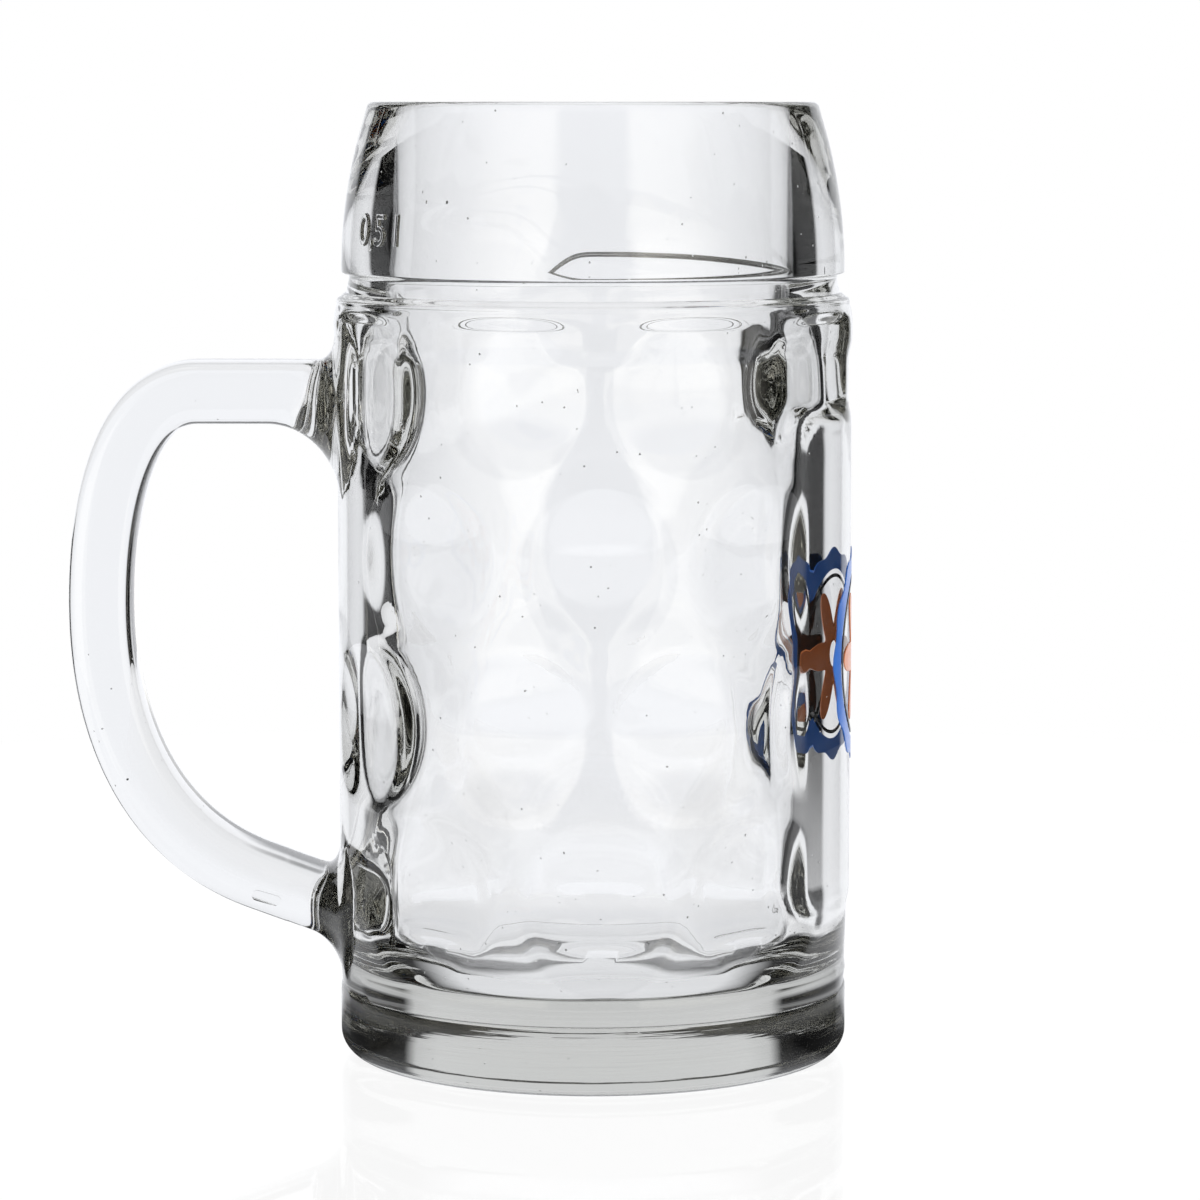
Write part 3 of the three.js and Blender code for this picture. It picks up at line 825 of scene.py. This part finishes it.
# %% Studio
STUDIO = [
    (0, 1.05, "cool"),
    (26, 1.03, "cool"),
    (32, 0.9, "cool"),
    (35.5, 0.0, "cool"),
    (60, 0.01, "cool"),
    (95, 0.05, "cool"),
    (112, 0.5, "warm"),
    (124, 1.2, "warm"),
    (145, 1.5, "warm"),
    (158, 1.5, "warm"),
    (161, 0.3, "cool"),
    (180, 0.2, "cool"),
]
CEILING = [(0, 1.0), (30, 1.0), (35, 0.08), (58, 0.06), (66, 0.9), (90, 0.9)]
TINTS = {"cool": (0.985, 1.0, 1.04), "warm": (1.03, 1.0, 0.92)}
BOX_TOP = (math.radians(5), math.radians(10))
OVER_BOXES = 0.2


def set_stops(ramp, stops):
    """Gives a colour ramp its stops, each a place from 0 to 1 and a colour."""
    elements = ramp.color_ramp.elements
    while len(elements) < len(stops):
        elements.new(0.5)
    for element, (place, colour) in zip(elements, stops):
        element.position = place
        element.color = colour


def seen_through_glass(tree):
    """1 for rays that a glass or glossy surface has sent on, 0 for the others."""
    rays = add_node(tree, "ShaderNodeLightPath", {})
    bent = {0: rays.outputs["Is Glossy Ray"], 1: rays.outputs["Is Transmission Ray"]}
    return add_node(tree, "ShaderNodeMath", bent, operation="MAXIMUM").outputs[0]


def azimuth_ramp(tree, vector, levels):
    """A colour ramp over the angle from +Y, the same on both sides; its colours are half the levels."""
    parts = add_node(tree, "ShaderNodeSeparateXYZ", {"Vector": vector})
    side = add_node(tree, "ShaderNodeMath", {0: parts.outputs["X"]}, operation="ABSOLUTE")
    across = {0: side.outputs[0], 1: parts.outputs["Y"]}
    azimuth = add_node(tree, "ShaderNodeMath", across, operation="ARCTAN2")
    turn = add_node(tree, "ShaderNodeMath", {0: azimuth.outputs[0], 1: math.pi}, operation="DIVIDE")
    ramp = add_node(tree, "ShaderNodeValToRGB", {"Fac": turn.outputs[0]})
    stops = []
    for degrees, level, tint in levels:
        stops.append((degrees / 180, [level / 2 * share for share in TINTS[tint]] + [1]))
    set_stops(ramp, stops)
    return ramp


def studio_world():
    world = bpy.data.worlds.new("studio")
    bpy.context.scene.world = world
    world.use_nodes = True
    tree = world.node_tree
    background = tree.nodes["Background"]
    background.inputs["Strength"].default_value = 2
    direction = add_node(tree, "ShaderNodeTexCoord", {})
    parts = add_node(tree, "ShaderNodeSeparateXYZ", {"Vector": direction.outputs["Generated"]})
    ramp = azimuth_ramp(tree, direction.outputs["Generated"], STUDIO)
    elevation = add_node(tree, "ShaderNodeMath", {0: parts.outputs["Z"]}, operation="ARCSINE")
    share_up = {"Value": elevation.outputs[0], "From Min": 0.0, "From Max": math.pi / 2}
    up = add_node(tree, "ShaderNodeMapRange", share_up)
    ceiling = add_node(tree, "ShaderNodeValToRGB", {"Fac": up.outputs[0]})
    set_stops(ceiling, [(degrees / 90, (level, level, level, 1)) for degrees, level in CEILING])
    mix = add_node(tree, "ShaderNodeMix", {"Factor": seen_through_glass(tree)}, data_type="RGBA")
    mix.inputs[6].default_value = (0.5, 0.5, 0.5, 1)
    dimmed = add_node(tree, "ShaderNodeMix", {"Factor": 1}, data_type="RGBA", blend_type="MULTIPLY")
    in_front = {"Value": parts.outputs["Y"], "From Min": -0.2, "From Max": -0.5}
    front = add_node(tree, "ShaderNodeMapRange", in_front)
    above = {"Value": elevation.outputs[0], "From Min": BOX_TOP[0], "From Max": BOX_TOP[1]}
    over = add_node(tree, "ShaderNodeMapRange", above)
    over_front = {0: front.outputs[0], 1: over.outputs[0]}
    shade = add_node(tree, "ShaderNodeMath", over_front, operation="MULTIPLY")
    dim = {"Value": shade.outputs[0], "To Min": 1.0, "To Max": OVER_BOXES}
    kept = add_node(tree, "ShaderNodeMapRange", dim)
    both = {0: ceiling.outputs["Color"], 1: kept.outputs[0]}
    lit = add_node(tree, "ShaderNodeMath", both, operation="MULTIPLY")
    tree.links.new(ramp.outputs["Color"], dimmed.inputs[6])
    tree.links.new(lit.outputs[0], dimmed.inputs[7])
    tree.links.new(dimmed.outputs[2], mix.inputs[7])
    tree.links.new(mix.outputs[2], background.inputs["Color"])
    return world


studio_world()
print("studio:", len(STUDIO), "levels round,", len(CEILING), "levels up")

# %% [markdown]
# ## Floor
# The mug stands on a pale, slightly polished board. The camera sees a nearly white surface with a faint
# mirror image and a soft shadow. Through the glass the board has to do a second job: the ends of the thick
# base look dark where they see the board beside the mug, so for glass rays the board glows with painted
# light and shade: bright behind and in front of the mug, painted shade at its sides, and a grey painted
# shade further out.

# %% Floor
FLOOR_RADIUS = 0.4
FLOOR_DROP = 0.2 * MM
# Painted shade for glass rays: from this reach outwards the board glows in the grey of the next line.
FAR_SHADE_REACH = (70 * MM, 90 * MM)
FAR_FLOOR_SHADE = (0.48, 0.485, 0.5, 1)
WHITE_SHARE = 0.95
MIRROR_SHARE = 0.08
LOW_ANGLE = (0.79, 0.87)
# Painted light and shade for glass rays, over the angle from +Y: bright behind and in front, dark at the
# sides.
FLOOR_LIGHT_AND_SHADE = [
    (0, 0.97, "cool"),
    (50, 0.97, "cool"),
    (64, 0.04, "cool"),
    (105, 0.04, "cool"),
    (130, 0.9, "cool"),
    (180, 0.9, "cool"),
]


def floor_material():
    material, nodes, links, shader = new_material("pale_floor")
    tree = material.node_tree
    shader.inputs["Base Color"].default_value = (0.9, 0.9, 0.9, 1)
    shader.inputs["Roughness"].default_value = 0.5
    white = add_node(tree, "ShaderNodeEmission", {"Color": (1, 1, 1, 1), "Strength": 1.03})
    place = add_node(tree, "ShaderNodeTexCoord", {})
    # For glass rays the board is an emission that glows with painted light and shade: the ramp round the
    # mug,
    lit = azimuth_ramp(tree, place.outputs["Object"], FLOOR_LIGHT_AND_SHADE)
    # then the grey painted shade further out; the cool emission below carries both.
    reach = add_node(tree, "ShaderNodeVectorMath", {0: place.outputs["Object"]}, operation="LENGTH")
    zone = {"Value": reach.outputs["Value"], "From Min": FAR_SHADE_REACH[0], "From Max": FAR_SHADE_REACH[1]}
    away = add_node(tree, "ShaderNodeMapRange", zone)
    shown = add_node(tree, "ShaderNodeMix", {"Factor": away.outputs[0]}, data_type="RGBA")
    shown.inputs[7].default_value = FAR_FLOOR_SHADE
    links.new(lit.outputs["Color"], shown.inputs[6])
    cool = add_node(tree, "ShaderNodeEmission", {"Color": shown.outputs[2], "Strength": 2})
    mirror = add_node(tree, "ShaderNodeBsdfGlossy", {"Color": (1, 1, 1, 1), "Roughness": 0.0})
    facing = add_node(tree, "ShaderNodeLayerWeight", {"Blend": 0.5})
    grazing = {"Value": facing.outputs["Facing"], "From Min": LOW_ANGLE[0], "From Max": LOW_ANGLE[1]}
    share = add_node(tree, "ShaderNodeMapRange", grazing)

    def blend(factor, first, second):
        sockets = {0: factor, 1: first.outputs[0], 2: second.outputs[0]}
        return add_node(tree, "ShaderNodeMixShader", sockets)

    by_camera = blend(MIRROR_SHARE, blend(WHITE_SHARE, shader, white), mirror)
    by_glass = blend(share.outputs[0], cool, mirror)
    both = blend(seen_through_glass(tree), by_camera, by_glass)
    links.new(both.outputs[0], nodes["Material Output"].inputs["Surface"])
    return material


deselect()
under_mug = (0, 0, -FLOOR_DROP)
bpy.ops.mesh.primitive_circle_add(vertices=128, radius=FLOOR_RADIUS, fill_type="NGON", location=under_mug)
floor = bpy.context.object
floor.name = "floor"
floor.data.materials.append(floor_material())
print("floor:", floor.name)

# %% [markdown]
# ## Camera
# The ellipses of the rim, the groove and the base show how far the camera stood off and how high: about at
# the rim's height, a little over three quarters of a metre away, and tilted down by some six degrees. Clear
# glass needs many bounces, because a ray that runs out of them turns black.

# %% Camera
LENS = 137.6
CAMERA_DISTANCE = 768 * MM
CAMERA_SIDE = 1.17 * MM
CAMERA_TILT = math.radians(6.2)
camera_data = bpy.data.cameras.new("photo_camera")
camera_data.lens = LENS
camera_data.sensor_width = 36
camera = bpy.data.objects.new("photo_camera", camera_data)
bpy.context.collection.objects.link(camera)
camera.location = (CAMERA_SIDE, -CAMERA_DISTANCE, MUG_HEIGHT)
camera.rotation_euler = (math.pi / 2 - CAMERA_TILT, 0, 0)
bpy.context.scene.camera = camera
bpy.context.scene.view_settings.view_transform = "Standard"
cycles = bpy.context.scene.cycles
cycles.max_bounces = 32
cycles.glossy_bounces = 24
cycles.transmission_bounces = 32
print("camera:", [round(v, 3) for v in camera.location])
